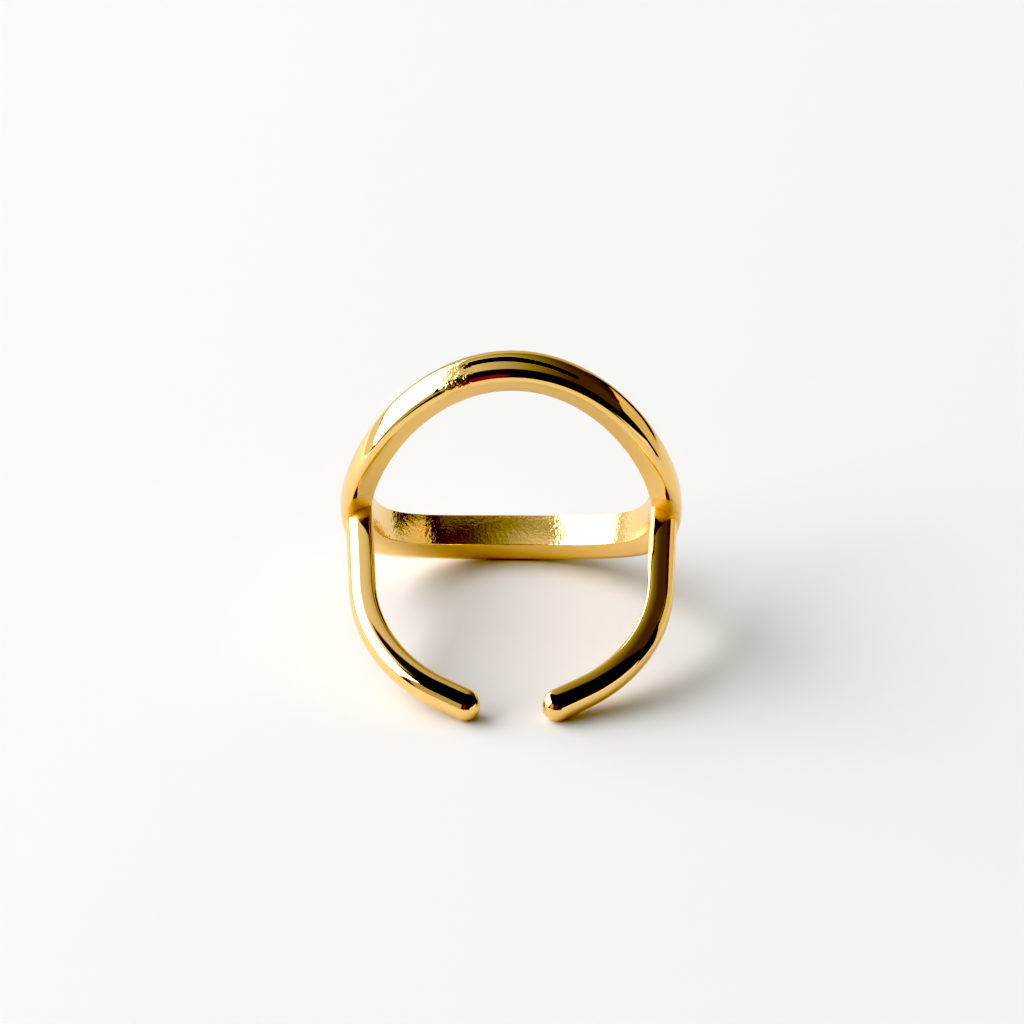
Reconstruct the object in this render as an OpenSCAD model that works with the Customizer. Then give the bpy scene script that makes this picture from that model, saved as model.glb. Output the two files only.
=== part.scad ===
// Open-circle finger ring in gold-plated metal, cast in one piece.
// The head is a round open loop, bent like a saddle over the finger. Two arms leave the
// underside of the loop and close round the finger, and a gap between their rounded ends
// lets the ring be sized.
//
// The ring is drawn with the finger's axis along Z, the head towards +Y and the arms towards
// -Y. It is then tipped about X and set down as it lies on a table: on the rounded ends of
// the arms in front and on the lower side of the loop behind.

/* [Head] */
// Half-width of the open window, across the finger
window_rx = 9.18; // [8.9:0.02:10]
// Half-length of the open window, along the finger
window_rz = 9; // [7:0.02:11]
// Radius to which the loop is bent over the finger
saddle_r = 13.5; // [12.5:0.05:20]
// Share of the band's thickness that follows the bend
saddle_share = 0.33; // [0:0.01:1]
// Height of the flat wall that faces the window
band_h = 2.4; // [1.6:0.02:3]
// Thickness of the band, from the window outwards
band_t = 2; // [1.5:0.05:2.6]
// Height of the thickest point, as a share of the wall's height
widest_at = 0.54; // [0.4:0.01:0.7]
// Width of the flat that rests on the finger
flat_w = 1.2; // [0.8:0.05:1.4]
// Slope of that flat, down from the window, in degrees
flat_slope = 10.5; // [0:0.5:15]
// Fullness of the dome above the thickest point, where 2 is an ellipse
upper_fullness = 2.6; // [2:0.1:4]
// Fullness of the dome below the thickest point
lower_fullness = 2.5; // [2:0.1:4]

/* [Shank] */
// Inside radius of the shank, where it bends round the finger
finger_r = 8.8; // [8.5:0.05:8.85]
// Depth of the finger's axis below the middle of the head
finger_depth = 10.23; // [10.1:0.01:12]
// Width of an arm along the finger
arm_w = 2.1; // [1.6:0.05:2.4]
// Thickness of an arm, from its flat inner face to the top of its dome
arm_t = 1.77; // [1.4:0.01:2]
// Fullness of an arm's dome, where 2 is an ellipse
arm_fullness = 2.2; // [2:0.1:4]
// Rounding of the two edges of an arm's flat inner face
edge_r = 0.35; // [0.1:0.05:0.5]
// Depth at which an arm starts, inside the band
root_depth = 4.5; // [4.3:0.05:4.7]
// Lean of an arm's side, outwards from the finger to the head, in degrees
side_lean = 2.75; // [1:0.25:4]
// Angle through which an arm bends round the finger
bend_angle = 58.5; // [55:0.5:62]
// Length of the straight end, up to its rounding
end_len = 1.85; // [0.5:0.05:2.5]

/* [Resolution] */
// Stations round the loop
stations = 96; // [48:4:128]
// Points on each quarter of the band's dome
dome_points = 7; // [4:1:10]
// Stations along the bend of an arm
bend_stations = 20; // [10:1:40]
// Points on each half of an arm's dome
arm_points = 6; // [4:1:10]
// Points on each rounded edge
edge_points = 3; // [2:1:6]
// Stations on an arm's rounded end
tip_stations = 6; // [4:1:10]

/* [Hidden] */
gold = [0.88, 0.69, 0.36];
// Sweep of the rounded end, just short of a quarter turn so that it closes on a small face
tip_sweep = 84;
// Where the rounded end closes, as a share of the arm's thickness
core_share = 0.45;
// Metal on the arms' inner faces that the finger's bore takes off
bore_stock = 0.03;

// Drop of the loop at a distance x from the middle of the head
function saddle(x) = saddle_r - sqrt(saddle_r * saddle_r - x * x);

// Outline of the band: [distance from the window's wall, height], from the wall's lower edge
// along the flat, round the dome and back to the wall's upper edge
flat_edge = [flat_w * cos(flat_slope), -band_h / 2 - flat_w * sin(flat_slope)];
widest_h = (widest_at - 0.5) * band_h;
lower_dome = [for (i = [1 : dome_points - 1]) let (a = 90 * i / dome_points)
    [flat_edge[0] + (band_t - flat_edge[0]) * pow(sin(a), 2 / lower_fullness),
     widest_h - (widest_h - flat_edge[1]) * pow(cos(a), 2 / lower_fullness)]];
upper_dome = [for (i = [0 : dome_points]) let (a = 90 * i / dome_points)
    [band_t * pow(max(cos(a), 0), 2 / upper_fullness),
     widest_h + (band_h / 2 - widest_h) * pow(sin(a), 2 / upper_fullness)]];
band = concat([[0, -band_h / 2], flat_edge], lower_dome, upper_dome);

// A point of the band's outline p, at the angle a round the window
function on_loop(a, p) =
    let (nx = cos(a) / window_rx, nz = sin(a) / window_rz, n = norm([nx, nz]),
         wall_x = window_rx * cos(a), out_x = p[0] * nx / n)
    [wall_x + out_x, p[1] - saddle(wall_x + saddle_share * out_x), window_rz * sin(a) + p[0] * nz / n];
loop_rings = [for (i = [0 : stations - 1]) [for (p = band) on_loop(360 * i / stations, p)]];

arm_end = side_lean + bend_angle;

// One half of an arm's section: [distance from the finger, place along the finger] round the
// edge of the flat inner face and up the domed back
core = core_share * arm_t;
half_section = concat(
    [for (i = [0 : edge_points - 1]) let (a = 90 * i / edge_points)
        [edge_r * (1 - cos(a)), arm_w / 2 - edge_r * (1 - sin(a))]],
    [for (i = [0 : arm_points]) let (a = 90 * i / arm_points)
        [edge_r + (arm_t - edge_r) * pow(sin(a), 2 / arm_fullness), arm_w / 2 * pow(max(cos(a), 0), 2 / arm_fullness)]]);
half_count = len(half_section);
arm_section = concat([for (i = [0 : half_count - 1]) [half_section[i][0], -half_section[i][1]]],
    [for (i = [half_count - 2 : -1 : 0]) half_section[i]]);

// The section at a share s of its size
function shrunk(s) = [for (q = arm_section) [core + (q[0] - core) * s, q[1] * s]];

// Outward direction and direction of travel on the shank, at the angle a below the finger's axis
function outward(a) = [cos(a), -sin(a), 0];
function onward(a) = [-sin(a), -cos(a), 0];
function arm_ring(start, a, s = 1) = [for (q = shrunk(s)) start + q[0] * outward(a) + [0, 0, q[1]]];
function on_finger(a) = [0, -finger_depth, 0] + (finger_r - bore_stock) * outward(a);
side_len = (finger_depth + (finger_r - bore_stock) * sin(side_lean) - root_depth) / cos(side_lean);

// An arm runs from its root along its side, round the finger and out to its rounded end
arm_rings = concat(
    [arm_ring(on_finger(side_lean) - side_len * onward(side_lean), side_lean)],
    [for (i = [0 : bend_stations]) let (a = side_lean + bend_angle * i / bend_stations)
        arm_ring(on_finger(a), a)],
    [for (i = [0 : tip_stations]) let (b = tip_sweep * i / tip_stations)
        arm_ring(on_finger(arm_end) + (end_len + arm_w / 2 * sin(b)) * onward(arm_end), arm_end, cos(b))]);

// How the ring lies: the arms' ends and the lower side of the loop reach the table together
function lowest(rings, t) = min([for (ring = rings) for (p = ring) p[1] * sin(t) + p[2] * cos(t)]);
function rest_tilt(low = 5, high = 60, steps = 24) =
    let (t = (low + high) / 2)
    steps == 0 ? t
    : lowest(arm_rings, t) > lowest(loop_rings, t) ? rest_tilt(t, high, steps - 1)
    : rest_tilt(low, t, steps - 1);
tilt = rest_tilt();
reach = [for (ring = concat(arm_rings, loop_rings)) for (p = ring) p[1] * cos(tilt) - p[2] * sin(tilt)];

// A skin over a row of like sections, closed on itself as a loop or by its two end faces
module skin(rings, is_loop) {
    count = len(rings[0]);
    last = len(rings) - 1;
    walls = [for (i = [0 : is_loop ? last : last - 1]) for (j = [0 : count - 1])
        let (here = i * count, next = (i + 1) % (last + 1) * count, k = (j + 1) % count)
        [here + j, next + j, next + k, here + k]];
    ends = [[for (j = [0 : count - 1]) j], [for (j = [count - 1 : -1 : 0]) last * count + j]];
    polyhedron([for (ring = rings) each ring], is_loop ? walls : concat(walls, ends), convexity = 6);
}

// The whole ring, lying on the table with the middle of its box over the origin
module ring() {
    color(gold)
        translate([0, -(min(reach) + max(reach)) / 2, -lowest(loop_rings, tilt)])
            rotate([tilt, 0, 0]) difference() {
                union() {
                    skin(loop_rings, true);
                    skin(arm_rings, false);
                    mirror([1, 0, 0]) skin(arm_rings, false);
                }
                translate([0, -finger_depth, -arm_w]) cylinder(r = finger_r, h = 2 * arm_w, $fn = 128);
            }
}

ring();
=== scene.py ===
import bpy
import bmesh
import math
from mathutils import Matrix, Quaternion, Vector


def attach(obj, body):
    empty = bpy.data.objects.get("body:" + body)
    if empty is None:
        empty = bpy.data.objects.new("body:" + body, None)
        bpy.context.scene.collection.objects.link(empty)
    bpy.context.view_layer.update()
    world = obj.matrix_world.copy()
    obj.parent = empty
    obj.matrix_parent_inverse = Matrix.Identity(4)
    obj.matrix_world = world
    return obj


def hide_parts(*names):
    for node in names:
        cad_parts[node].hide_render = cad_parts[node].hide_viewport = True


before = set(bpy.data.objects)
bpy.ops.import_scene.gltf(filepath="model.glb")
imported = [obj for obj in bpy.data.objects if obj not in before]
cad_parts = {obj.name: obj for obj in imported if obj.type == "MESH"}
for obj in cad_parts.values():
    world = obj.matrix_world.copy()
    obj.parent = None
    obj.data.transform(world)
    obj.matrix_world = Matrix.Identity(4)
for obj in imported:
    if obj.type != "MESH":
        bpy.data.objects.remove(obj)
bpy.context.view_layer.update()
scene = bpy.context.scene
mm = 0.001
quarterTurn = math.pi / 2

# The ring is made in mm with the finger along Z and the head towards +Y, then laid down
# like the CAD ring
lie = {
    "tilt": 27.724,         # degrees about X
    "shift": 6.2637,        # mm along Y, after the tilt
    "lift": 10.0457,        # mm
}
meshing = {
    "mergeDistance": 1e-5,  # in the unit that the mesh is made in
    "sharpAngle": 28,       # degrees, past which an edge stays crisp
}


def laidDown():
    return (Matrix.Translation((0, lie["shift"] * mm, lie["lift"] * mm))
            @ Matrix.Rotation(math.radians(lie["tilt"]), 4, "X") @ Matrix.Scale(mm, 4))


def closedProfile(bm, points):
    # A closed chain of edges through a few points
    verts = [bm.verts.new(p) for p in points]
    edges = [bm.edges.new(pair) for pair in zip(verts, verts[1:] + verts[:1])]
    return verts, edges


def vertsAndEdges(geom):
    return ([g for g in geom if isinstance(g, bmesh.types.BMVert)],
            [g for g in geom if isinstance(g, bmesh.types.BMEdge)])


def roundedCorner(corner, before, after, radius, steps):
    # Points of a small round where two straight stretches of a profile meet
    a = (Vector(before) - Vector(corner)).normalized()
    b = (Vector(after) - Vector(corner)).normalized()
    half = a.angle(b) / 2
    centre = Vector(corner) + (a + b).normalized() * radius / math.sin(half)
    start = Vector(corner) + a * radius / math.tan(half) - centre
    end = Vector(corner) + b * radius / math.tan(half) - centre
    return [centre + start.slerp(end, i / steps) * radius for i in range(steps + 1)]


def finished(bm, name):
    bmesh.ops.remove_doubles(bm, verts=bm.verts, dist=meshing["mergeDistance"])
    bmesh.ops.recalc_face_normals(bm, faces=bm.faces)
    mesh = bpy.data.meshes.new(name)
    bm.to_mesh(mesh)
    bm.free()
    piece = bpy.data.objects.new(name, mesh)
    scene.collection.objects.link(piece)
    return piece


# The head is a round open loop, bent like a saddle over the finger; sizes in mm
head = {
    "windowX": 9.18,        # half-width of the window
    "windowZ": 9.0,
    "saddle": 13.5,         # radius of the bend over the finger
    "saddleShare": 0.33,    # share of the band's thickness that follows the bend
    "height": 2.4,          # wall that faces the window
    "thick": 2.0,
    "widestAt": 0.54,       # height of the thickest point, as a share of the wall
    "flat": 1.2,            # width of the flat that rests on the finger
    "flatSlope": 10.5,      # degrees
    "upperFull": 2.6,       # fullness of the dome, where 2 is an ellipse
    "lowerFull": 2.5,
    "wallRound": 0.07,      # round of the window wall's two edges
    "creaseRound": 0.10,
    "roundSteps": 4,
    "stations": 288,
    "domePoints": 18,
}


def bandProfile(h):
    # Section of the band as (outwards from the window, up), closed
    low, top = Vector((0, -h["height"] / 2)), Vector((0, h["height"] / 2))
    slope = math.radians(h["flatSlope"])
    flatEdge = low + h["flat"] * Vector((math.cos(slope), -math.sin(slope)))
    widest = (h["widestAt"] - 0.5) * h["height"]
    under, over = 2 / h["lowerFull"], 2 / h["upperFull"]
    angles = [quarterTurn * i / h["domePoints"] for i in range(h["domePoints"])]
    lower = [Vector((flatEdge.x + (h["thick"] - flatEdge.x) * math.sin(a) ** under,
                     widest - (widest - flatEdge.y) * math.cos(a) ** under))
             for a in angles[1:]]
    upper = [Vector((h["thick"] * math.cos(a) ** over,
                     widest + (h["height"] / 2 - widest) * math.sin(a) ** over))
             for a in angles]
    bottomRound = roundedCorner(low, top, flatEdge, h["wallRound"], h["roundSteps"])
    creaseRound = roundedCorner(flatEdge, low, lower[1], h["creaseRound"], h["roundSteps"])
    topRound = roundedCorner(top, upper[-1], low, h["wallRound"], h["roundSteps"])
    return bottomRound + creaseRound + lower[2:] + upper + topRound


def bandPoint(h, p):
    # Moves a vertex of a plain round hoop onto the saddle-bent loop
    a = math.atan2(p.z, p.x)
    out = math.hypot(p.x, p.z) - h["windowX"]
    nx, nz = math.cos(a) / h["windowX"], math.sin(a) / h["windowZ"]
    n = math.hypot(nx, nz)
    wallX, outX = h["windowX"] * math.cos(a), out * nx / n
    bentX = wallX + h["saddleShare"] * outX
    drop = h["saddle"] - math.sqrt(h["saddle"] ** 2 - bentX ** 2)
    return Vector((wallX + outX, p.y - drop, h["windowZ"] * math.sin(a) + out * nz / n))


def makeHead():
    bm = bmesh.new()
    profile = [(head["windowX"] + p.x, p.y, 0) for p in bandProfile(head)]
    verts, edges = closedProfile(bm, profile)
    bmesh.ops.spin(bm, geom=verts + edges, axis=(0, 1, 0), cent=(0, 0, 0), angle=math.tau,
                   steps=head["stations"], use_merge=True, use_duplicate=False)
    for v in bm.verts:
        v.co = bandPoint(head, v.co)
    return finished(bm, "head")


# The shank is two arms that leave the loop and close round the finger; sizes in mm
arm = {
    "finger": 8.8,          # inside radius
    "depth": 10.23,         # finger's axis below the head
    "width": 2.1,
    "thick": 1.77,
    "full": 2.2,            # fullness of the dome, where 2 is an ellipse
    "edge": 0.35,           # round of the inner face's edges
    "root": 4.5,            # depth at which the arm starts, inside the head
    "lean": 2.75,           # degrees
    "bend": 58.5,           # degrees
    "end": 1.85,            # straight end, up to its rounding
    "core": 0.45,           # where the tip closes, as a share of the thickness
    "domePoints": 14,
    "edgePoints": 6,
    "sideSteps": 6,
    "bendSteps": 72,
    "endSteps": 3,
    "tipSteps": 14,
}


def armProfile(s):
    # Section as (outwards from the finger, along the finger), closed
    r, halfWidth, power = s["edge"], s["width"] / 2, 2 / s["full"]
    half = [(r * (1 - math.cos(a)), halfWidth - r * (1 - math.sin(a)))
            for a in (quarterTurn * i / s["edgePoints"] for i in range(s["edgePoints"]))]
    half += [(r + (s["thick"] - r) * math.sin(a) ** power, halfWidth * math.cos(a) ** power)
             for a in (quarterTurn * i / s["domePoints"] for i in range(s["domePoints"]))]
    return [(x, -z) for x, z in half] + [(s["thick"], 0)] + half[::-1]


def shankDirections(a):
    # Outwards from the finger and onwards along the arm, at the angle a below the finger's axis
    return Vector((math.cos(a), -math.sin(a), 0)), Vector((-math.sin(a), -math.cos(a), 0))


def extruded(bm, edges):
    return vertsAndEdges(bmesh.ops.extrude_edge_only(bm, edges=edges)["geom"])


def pushedOn(bm, edges, way, length, steps):
    for step in range(steps):
        verts, edges = extruded(bm, edges)
        bmesh.ops.translate(bm, verts=verts, vec=way * length / steps)
    return verts, edges


def makeArm():
    # The section is pushed down the side, spun round the finger and pushed out to the tip
    bm = bmesh.new()
    lean, bend = math.radians(arm["lean"]), math.radians(arm["bend"])
    centre = Vector((0, -arm["depth"], 0))
    side = (arm["depth"] + arm["finger"] * math.sin(lean) - arm["root"]) / math.cos(lean)
    outward, onward = shankDirections(lean)
    root = centre + arm["finger"] * outward - side * onward
    verts, edges = closedProfile(bm, [root + x * outward + Vector((0, 0, z))
                                      for x, z in armProfile(arm)])
    bm.faces.new(verts)
    verts, edges = pushedOn(bm, edges, onward, side, arm["sideSteps"])
    spun = bmesh.ops.spin(bm, geom=verts + edges, axis=(0, 0, -1), cent=centre, angle=bend,
                          steps=arm["bendSteps"], use_duplicate=False)["geom_last"]
    outward, onward = shankDirections(lean + bend)
    verts, edges = pushedOn(bm, vertsAndEdges(spun)[1], onward, arm["end"], arm["endSteps"])
    # The tip rounds over towards its core
    core = (centre + (arm["finger"] + arm["core"] * arm["thick"]) * outward
            + arm["end"] * onward)
    radius, size, reach = arm["width"] / 2, 1.0, 0.0
    for step in range(1, arm["tipSteps"] + 1):
        a = quarterTurn * step / arm["tipSteps"]
        newSize, newReach = max(math.cos(a), 0.0), math.sin(a)
        verts, edges = extruded(bm, edges)
        bmesh.ops.scale(bm, verts=verts, vec=(newSize / size,) * 3,
                        space=Matrix.Translation(-(core + radius * reach * onward)))
        bmesh.ops.translate(bm, verts=verts, vec=onward * (radius * (newReach - reach)))
        size, reach = newSize, newReach
    return bm


def makeArms():
    bm = makeArm()
    twin = bmesh.ops.duplicate(bm, geom=bm.verts[:] + bm.edges[:] + bm.faces[:])["geom"]
    bmesh.ops.scale(bm, verts=vertsAndEdges(twin)[0], vec=(-1, 1, 1))
    return finished(bm, "arms")


def joined(whole, part):
    # Union of two closed meshes, kept as a plain mesh
    union = whole.modifiers.new("join", "BOOLEAN")
    union.operation = "UNION"
    union.solver = "EXACT"
    union.object = part
    bpy.context.view_layer.update()
    solved = whole.evaluated_get(bpy.context.evaluated_depsgraph_get())
    made = bpy.data.meshes.new_from_object(solved)
    whole.modifiers.clear()
    whole.data = made
    bpy.data.objects.remove(part)
    return whole


print("making the ring")
ring = joined(makeHead(), makeArms())
ring.name = ring.data.name = "ring_polished"
ring.data.transform(laidDown())
for face in ring.data.polygons:
    face.use_smooth = True
ring.data.set_sharp_from_angle(angle=math.radians(meshing["sharpAngle"]))
print("ring", len(ring.data.polygons), "faces")


def linear(hexColour):
    # sRGB hex to the linear colour that a shader takes
    parts = [int(hexColour[i:i + 2], 16) / 255 for i in (1, 3, 5)]
    return tuple(c / 12.92 if c <= 0.04045 else ((c + 0.055) / 1.055) ** 2.4
                 for c in parts) + (1,)


def addNode(tree, kind, settings=None, inputs=None):
    # An input takes another node's output or a fixed value, by its name or number
    node = tree.nodes.new(kind)
    for key, value in (settings or {}).items():
        setattr(node, key, value)
    for key, value in (inputs or {}).items():
        if isinstance(value, bpy.types.NodeSocket):
            tree.links.new(value, node.inputs[key])
        else:
            node.inputs[key].default_value = value
    return node


def fadeProduct(tree, interpolation, ramps):
    # Several fades multiplied together, each as (value, ends, levels)
    result = None
    for value, ends, levels in ramps:
        fade = addNode(tree, "ShaderNodeMapRange", {"interpolation_type": interpolation}, {
            "Value": value, "From Min": ends[0], "From Max": ends[1],
            "To Min": levels[0], "To Max": levels[1]}).outputs["Result"]
        if result is None:
            result = fade
        else:
            both = addNode(tree, "ShaderNodeMath", {"operation": "MULTIPLY"},
                           {0: result, 1: fade})
            result = both.outputs["Value"]
    return result


# The finish; noise sizes and relief heights in mm
gold = {
    "plate": "#FFD99C",                 # yellow gold, as it shows over brass
    "worn": "#FAD493",                  # slightly duller where the plating is thin
    "roughness": 0.045,
    "roughSpread": (0.6, 1.5),          # shares of it between which the clouds vary it
    "cloudEnds": (0.3, 0.7),
    "wallRoughness": 0.09,              # the buffing wheel reaches the window's wall less well
    "wallEnds": (1.003, 1.009),         # where the wall stops, as a share of the window's size
    "wallFoot": (-5.4, -5.0),           # upright mm, below which the arms stay polished
    "spot": (-3.67, 0.46, 18.64),       # mm, a patch on the dome that was left unpolished
    "spotSize": (0.8, 1.3),             # mm, its core and where it has faded
    "spotDepth": 2.2,                   # how much deeper its grain is than the wall's
    "pocket": (9.9, 5.1, 1.5),          # upright mm, the corner above each arm, left as cast
    "pocketSize": (0.75, 1.05),         # mm, its core and where it has faded
    "castRoughness": 0.5,
    # Clouds in the plating
    "clouds": {"size": 3.0, "detail": 3.0, "roughness": 0.5},
    # Slow waves left by hand polishing
    "waves": {"size": 2.2, "detail": 1.0, "roughness": 0.4, "strength": 0.06, "relief": 0.2},
    # The casting's grain where it shows through
    "grain": {"size": 0.28, "detail": 2.0, "roughness": 0.6, "strength": 1.0, "relief": 0.026},
    # Polishing scratches, drawn out along Y and Z and coarser than real ones, so that they show
    "hairlines": {"size": 0.035, "detail": 2.0, "roughness": 0.6, "strength": 0.05,
                  "relief": 0.004},
    "hairlineStretch": (1.0, 0.12, 0.12),
}


def polishedGoldPlate():
    # Gold electroplated on polished brass: a near-mirror, with slow waves from the buffing
    # wheel and faint clouds in the plating. Hairline scratches and the casting's grain, which
    # shows inside the window and on one small patch, break up the edges of reflections, and
    # the corner above each arm is matt, as it came from the mould
    material = bpy.data.materials.new("polishedGoldPlate")
    material.use_nodes = True
    tree = material.node_tree
    tree.nodes.clear()
    place = addNode(tree, "ShaderNodeTexCoord").outputs["Object"]
    # The ring's own upright millimetres, as it was made before it was laid down
    upright = addNode(tree, "ShaderNodeMapping", {"vector_type": "TEXTURE"}, {
        "Vector": place, "Location": (0, lie["shift"] * mm, lie["lift"] * mm),
        "Rotation": (math.radians(lie["tilt"]), 0, 0), "Scale": (mm, mm, mm),
    }).outputs["Vector"]
    # How unpolished a place is: the wall of the window, or the patch on the dome
    window = addNode(tree, "ShaderNodeMapping", inputs={
        "Vector": upright, "Scale": (1 / head["windowX"], 0, 1 / head["windowZ"])})
    reach = addNode(tree, "ShaderNodeVectorMath", {"operation": "LENGTH"},
                    {0: window.outputs["Vector"]})
    height = addNode(tree, "ShaderNodeSeparateXYZ", inputs={"Vector": upright})
    wall = fadeProduct(tree, "LINEAR", [
        (reach.outputs["Value"], gold["wallEnds"], (1.0, 0.0)),
        (height.outputs["Y"], gold["wallFoot"], (0.0, 1.0))])
    spot = addNode(tree, "ShaderNodeVectorMath", {"operation": "DISTANCE"},
                   {0: place, 1: [c * mm for c in gold["spot"]]})
    patch = addNode(tree, "ShaderNodeMapRange", inputs={
        "Value": spot.outputs["Value"], "From Min": gold["spotSize"][0] * mm,
        "From Max": gold["spotSize"][1] * mm, "To Min": gold["spotDepth"], "To Max": 0.0})
    unpolished = addNode(tree, "ShaderNodeMath", {"operation": "MAXIMUM"},
                         {0: wall, 1: patch.outputs["Result"]}).outputs["Value"]
    # The corner above each arm, the same on both sides
    folded = addNode(tree, "ShaderNodeVectorMath", {"operation": "ABSOLUTE"}, {0: upright})
    corner = addNode(tree, "ShaderNodeVectorMath", {"operation": "DISTANCE"},
                     {0: folded.outputs["Vector"], 1: gold["pocket"]})
    pocket = addNode(tree, "ShaderNodeMapRange", inputs={
        "Value": corner.outputs["Value"], "From Min": gold["pocketSize"][0],
        "From Max": gold["pocketSize"][1], "To Min": 1.0, "To Max": 0.0})
    # Colour and roughness follow the clouds, and the unpolished places are rougher
    clouds = addNode(tree, "ShaderNodeTexNoise", inputs={
        "Vector": place, "Scale": 1 / (gold["clouds"]["size"] * mm),
        "Detail": gold["clouds"]["detail"], "Roughness": gold["clouds"]["roughness"]})
    colour = addNode(tree, "ShaderNodeMix", {"data_type": "RGBA"}, {
        "Factor": clouds.outputs["Fac"], "A": linear(gold["plate"]), "B": linear(gold["worn"])})
    polished = addNode(tree, "ShaderNodeMapRange", inputs={
        "Value": clouds.outputs["Fac"], "From Min": gold["cloudEnds"][0],
        "From Max": gold["cloudEnds"][1], "To Min": gold["roughness"] * gold["roughSpread"][0],
        "To Max": gold["roughness"] * gold["roughSpread"][1]})
    rougher = addNode(tree, "ShaderNodeMapRange", inputs={
        "Value": unpolished, "To Min": polished.outputs["Result"],
        "To Max": gold["wallRoughness"]})
    roughness = addNode(tree, "ShaderNodeMapRange", inputs={
        "Value": pocket.outputs["Result"], "To Min": rougher.outputs["Result"],
        "To Max": gold["castRoughness"]})
    # Relief in three layers, each on the one before
    stretched = addNode(tree, "ShaderNodeMapping", inputs={
        "Vector": place, "Scale": gold["hairlineStretch"]}).outputs["Vector"]
    normal = None
    for name, where in (("waves", place), ("grain", place), ("hairlines", stretched)):
        layer = gold[name]
        relief = addNode(tree, "ShaderNodeTexNoise", inputs={
            "Vector": where, "Scale": 1 / (layer["size"] * mm),
            "Detail": layer["detail"], "Roughness": layer["roughness"]}).outputs["Fac"]
        if name == "grain":      # it shows only where the ring is unpolished
            relief = addNode(tree, "ShaderNodeMath", {"operation": "MULTIPLY"},
                             {0: relief, 1: unpolished}).outputs["Value"]
        bump = addNode(tree, "ShaderNodeBump", inputs={
            "Height": relief, "Strength": layer["strength"], "Distance": layer["relief"] * mm})
        if normal is not None:
            tree.links.new(normal, bump.inputs["Normal"])
        normal = bump.outputs["Normal"]
    shader = addNode(tree, "ShaderNodeBsdfPrincipled", inputs={
        "Base Color": colour.outputs["Result"], "Roughness": roughness.outputs["Result"],
        "Metallic": 1.0, "Normal": normal})
    addNode(tree, "ShaderNodeOutputMaterial", inputs={"Surface": shader.outputs["BSDF"]})
    return material


ring.data.materials.clear()
ring.data.materials.append(polishedGoldPlate())
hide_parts("ring")
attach(ring, "root")
print("finish done")

# The stage is a plain pale table with soft boxes and pale boards round it; sizes in metres
studio = {
    "table": "#EEEEEE",
    "tableSize": 3.0,
    "tableRoughness": 0.7,
    "aimHeight": 0.01,               # what the lights face, over the middle of the table
    "black": (0.11, 0.095, 0.11),    # red, green and blue that show as black
}
# Azimuth from +X, elevation, width, height and roll are in degrees as the ring sees them;
# distance is in metres. Boxes, boards and strips are rectangles, and cards are ovals
softBoxes = {
    "mainBox": {"at": (174, 32), "span": (78, 45), "roll": -8, "distance": 2.0,
                "strength": 4.8, "colour": "#FFFFFF"},
    "leftBoard": {"at": (230, 14), "span": (24, 34), "distance": 1.2,
                  "strength": 0.42, "colour": "#FFFFFF"},
    "backBoard": {"at": (92, 20), "span": (72, 44), "distance": 1.4,
                  "strength": 0.5, "colour": "#FFFFFF"},
    "lowBoard": {"at": (164, 4), "span": (72, 13), "distance": 1.3,
                 "strength": 0.75, "colour": "#FFFFFF"},
    "rightBoard": {"at": (18, 14), "span": (34, 30), "distance": 1.2,
                   "strength": 0.66, "colour": "#FFF3E0"},
    "rightStrip": {"at": (6, 39), "span": (12, 7), "distance": 1.2,
                   "strength": 0.4, "colour": "#FFF3E0"},
    "frontBoard": {"at": (322, 4), "span": (44, 12), "distance": 1.2,
                   "strength": 0.9, "colour": "#FFFFFF"},
    "warmCard": {"at": (262, 20), "span": (14, 28), "distance": 1.2,
                 "strength": 0.17, "colour": "#FF3A0C"},
    "orangeCard": {"at": (26, 23), "span": (3.5, 12), "distance": 1.1,
                   "strength": 0.3, "colour": "#FF5410"},
}
# Sheets overhead that fade from left to right; their edges are slopes from straight up
overhead = {
    "near": {"along": (-0.60, 0.37), "soft": (0.22, 0.06), "fade": (-0.9, 0.85),
             "levels": (0.84, 0.0)},
    "far": {"along": (0.33, 1.30), "soft": (0.10, 0.30), "fade": (-0.6, 0.9),
            "levels": (0.75, 0.10)},
    "across": (-0.95, 1.2),
    "acrossSoft": (0.05, 0.3),
    "horizon": (0.1, 0.15),          # sines of the heights between which the sheets begin
    "room": 0.11,                    # light that comes from everywhere else
    "colour": "#FFFFFF",
}
# A diffuser low over the ring, in mm, with its light from left to right and at its back
diffuser = {
    "height": 55.0,
    "x": (-36.0, 75.0),
    "y": (-45.0, 26.0),
    "fade": (-28.0, 28.0),
    "levels": (0.70, 0.05),
    "front": (-18.0, -14.0),         # where the light starts, at the middle
    "slant": -0.19,                  # and how that edge comes forward towards the right
    "back": (6.0, 26.0),
    "backLevel": 0.45,
}
# A dark rod close over the loop, which shows only as a dark line in its crown
rod = {
    "middle": (1.3, 1.27, 24.8),     # mm
    "size": (14.8, 1.0, 0.2),        # mm
    "turn": -5.5,                    # degrees
    "colour": "#191919",
    "roughness": 0.9,
}


def matt(name, colour, roughness):
    material = bpy.data.materials.new(name)
    material.use_nodes = True
    shader = material.node_tree.nodes["Principled BSDF"]
    shader.inputs["Base Color"].default_value = linear(colour)
    shader.inputs["Roughness"].default_value = roughness
    return material


def makeTable():
    bm = bmesh.new()
    bmesh.ops.create_grid(bm, x_segments=1, y_segments=1, size=studio["tableSize"] / 2)
    table = finished(bm, "table")
    # Matt paint: an even off-white that takes soft shadows and has no glare
    table.data.materials.append(matt("paintedTable", studio["table"], studio["tableRoughness"]))


def towards(azimuth, elevation):
    a, e = math.radians(azimuth), math.radians(elevation)
    return Vector((math.cos(a) * math.cos(e), math.sin(a) * math.cos(e), math.sin(e)))


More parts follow.
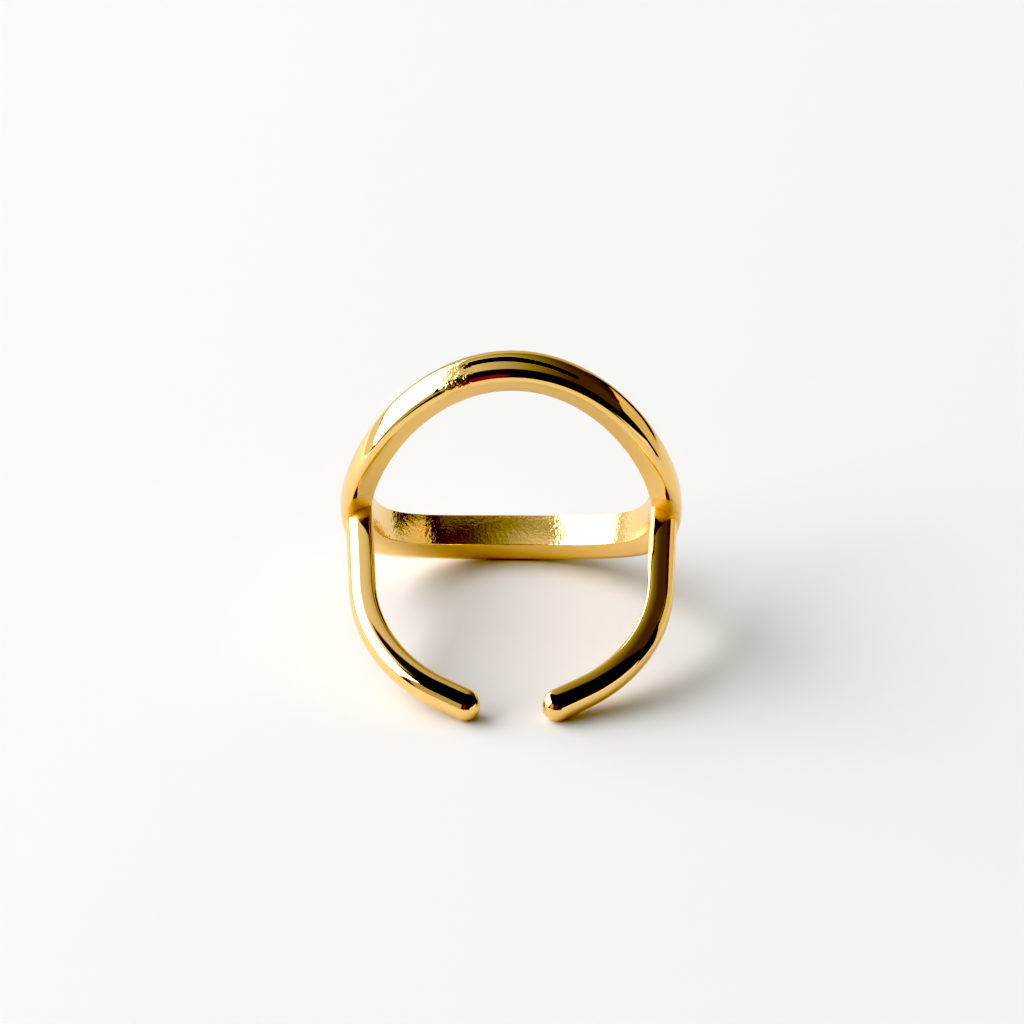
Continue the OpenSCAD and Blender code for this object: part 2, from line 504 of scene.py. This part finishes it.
def softBox(name, box):
    # An area light that faces the ring; its strength is what a mirror would show
    light = bpy.data.lights.new(name, "AREA")
    light.shape = "ELLIPSE" if name.endswith("Card") else "RECTANGLE"
    wide, high = (2 * box["distance"] * math.tan(math.radians(s / 2)) for s in box["span"])
    light.size, light.size_y = wide, high
    light.energy = box["strength"] * wide * high * math.pi
    light.color = linear(box["colour"])[:3]
    holder = bpy.data.objects.new(name, light)
    scene.collection.objects.link(holder)
    toLight = towards(*box["at"])
    holder.location = toLight * box["distance"] + Vector((0, 0, studio["aimHeight"]))
    roll = Quaternion((0, 0, 1), math.radians(box.get("roll", 0)))
    holder.rotation_euler = (toLight.to_track_quat("Z", "Y") @ roll).to_euler()


def makeDiffuser():
    bm = bmesh.new()
    (left, right), (front, back) = ([c * mm for c in diffuser[k]] for k in "xy")
    corners = ((left, front), (right, front), (right, back), (left, back))
    bm.faces.new([bm.verts.new((x, y, diffuser["height"] * mm)) for x, y in corners])
    sheet = finished(bm, "diffuser")
    # Frosted acrylic lit from above: a glow that the gold mirrors, and that fades sideways
    material = bpy.data.materials.new("litDiffuser")
    material.use_nodes = True
    tree = material.node_tree
    tree.nodes.clear()
    place = addNode(tree, "ShaderNodeTexCoord").outputs["Object"]
    inMm = addNode(tree, "ShaderNodeMapping", inputs={"Vector": place, "Scale": (1 / mm,) * 3})
    parts = addNode(tree, "ShaderNodeSeparateXYZ", inputs={"Vector": inMm.outputs["Vector"]})
    x, y = parts.outputs["X"], parts.outputs["Y"]
    edge = addNode(tree, "ShaderNodeMath", {"operation": "MULTIPLY_ADD"},
                   {0: x, 1: -diffuser["slant"], 2: y})
    lit = fadeProduct(tree, "SMOOTHSTEP", [
        (x, diffuser["fade"], diffuser["levels"]),
        (edge.outputs["Value"], diffuser["front"], (0.0, 1.0)),
        (y, diffuser["back"], (1.0, diffuser["backLevel"]))])
    light = addNode(tree, "ShaderNodeMath", {"operation": "ADD"}, {0: lit, 1: overhead["room"]})
    glow = addNode(tree, "ShaderNodeEmission", inputs={
        "Color": linear(overhead["colour"]), "Strength": light.outputs["Value"]})
    addNode(tree, "ShaderNodeOutputMaterial", inputs={"Surface": glow.outputs["Emission"]})
    sheet.data.materials.append(material)
    sheet.visible_camera = sheet.visible_diffuse = sheet.visible_shadow = False


def makeRod():
    bm = bmesh.new()
    bmesh.ops.create_cube(bm, size=1.0)
    bmesh.ops.scale(bm, verts=bm.verts, vec=[c * mm for c in rod["size"]])
    bmesh.ops.rotate(bm, verts=bm.verts,
                     matrix=Matrix.Rotation(math.radians(rod["turn"]), 3, "Z"))
    bmesh.ops.translate(bm, verts=bm.verts, vec=[c * mm for c in rod["middle"]])
    dark = finished(bm, "rod")
    # Black card, which gives the mirror-bright gold a line with no light in it
    dark.data.materials.append(matt("blackCard", rod["colour"], rod["roughness"]))
    dark.visible_camera = dark.visible_diffuse = dark.visible_shadow = False


def makeRoom():
    # A dim room with pale sheets overhead
    world = bpy.data.worlds.new("room")
    scene.world = world
    world.use_nodes = True
    tree = world.node_tree
    tree.nodes.clear()
    direction = addNode(tree, "ShaderNodeTexCoord").outputs["Generated"]
    x, y, z = addNode(tree, "ShaderNodeSeparateXYZ", inputs={"Vector": direction}).outputs
    across, along = (addNode(tree, "ShaderNodeMath", {"operation": "DIVIDE"},
                             {0: part, 1: z}).outputs["Value"] for part in (x, y))
    (left, right), (softLeft, softRight) = overhead["across"], overhead["acrossSoft"]
    overTable = fadeProduct(tree, "SMOOTHSTEP", [
        (z, overhead["horizon"], (0.0, 1.0)),
        (across, (left, left + softLeft), (0.0, 1.0)),
        (across, (right - softRight, right), (1.0, 0.0))])
    sheets = []
    for name in ("near", "far"):
        sheet = overhead[name]
        (start, end), (softStart, softEnd) = sheet["along"], sheet["soft"]
        sheets.append(fadeProduct(tree, "SMOOTHSTEP", [
            (along, (start, start + softStart), (0.0, 1.0)),
            (along, (end - softEnd, end), (1.0, 0.0)),
            (across, sheet["fade"], sheet["levels"])]))
    total = addNode(tree, "ShaderNodeMath", {"operation": "ADD"}, {0: sheets[0], 1: sheets[1]})
    light = addNode(tree, "ShaderNodeMath", {"operation": "MULTIPLY_ADD"},
                    {0: total.outputs["Value"], 1: overTable, 2: overhead["room"]})
    sky = addNode(tree, "ShaderNodeBackground", inputs={
        "Color": linear(overhead["colour"]), "Strength": light.outputs["Value"]})
    addNode(tree, "ShaderNodeOutputWorld", inputs={"Surface": sky.outputs["Background"]})


makeTable()
for name, box in softBoxes.items():
    softBox(name, box)
makeDiffuser()
makeRod()
makeRoom()
scene.view_settings.view_transform = "Standard"
scene.view_settings.use_curve_mapping = True      # a product photograph's deep blacks
scene.view_settings.curve_mapping.black_level = studio["black"]
scene.view_settings.curve_mapping.update()

# The camera stands at the photograph's angle
view = {
    "elevation": 28.53,              # degrees
    "turn": 0.32,                    # degrees about Z, round the ring's own middle
    "roll": 0.37,                    # degrees
    "distance": 0.5,                 # metres
    "aim": (0.063, 10.493, 0.0),     # mm, before the ring is centred
    "pixelsPerMm": 14.794,
    "pixels": 1024,                  # width of the picture
    "sensor": 36,                    # mm
    "clip": (0.01, 10),              # metres
}


def makeCamera():
    e, t, r = (math.radians(view[k]) for k in ("elevation", "turn", "roll"))
    back = Matrix.Rotation(-t, 3, "Z")
    aim = Vector(view["aim"]) * mm
    look = Vector((0, math.cos(e), -math.sin(e)))
    right = Vector((1, 0, 0))
    up = right.cross(look)
    place = back @ (aim - look * view["distance"]) + Vector((0, lie["shift"] * mm, 0))
    axisX = back @ (right * math.cos(r) + up * math.sin(r))
    axisY = back @ (up * math.cos(r) - right * math.sin(r))
    axisZ = back @ -look
    camera = bpy.data.cameras.new("camera")
    camera.sensor_width = view["sensor"]
    focalPixels = view["pixelsPerMm"] / mm * view["distance"]
    camera.lens = focalPixels * camera.sensor_width / view["pixels"]
    camera.clip_start, camera.clip_end = view["clip"]
    holder = bpy.data.objects.new("camera", camera)
    scene.collection.objects.link(holder)
    turn = Matrix((axisX, axisY, axisZ)).transposed().to_4x4()
    holder.matrix_world = Matrix.Translation(place) @ turn
    scene.camera = holder


makeCamera()
print("stage done")
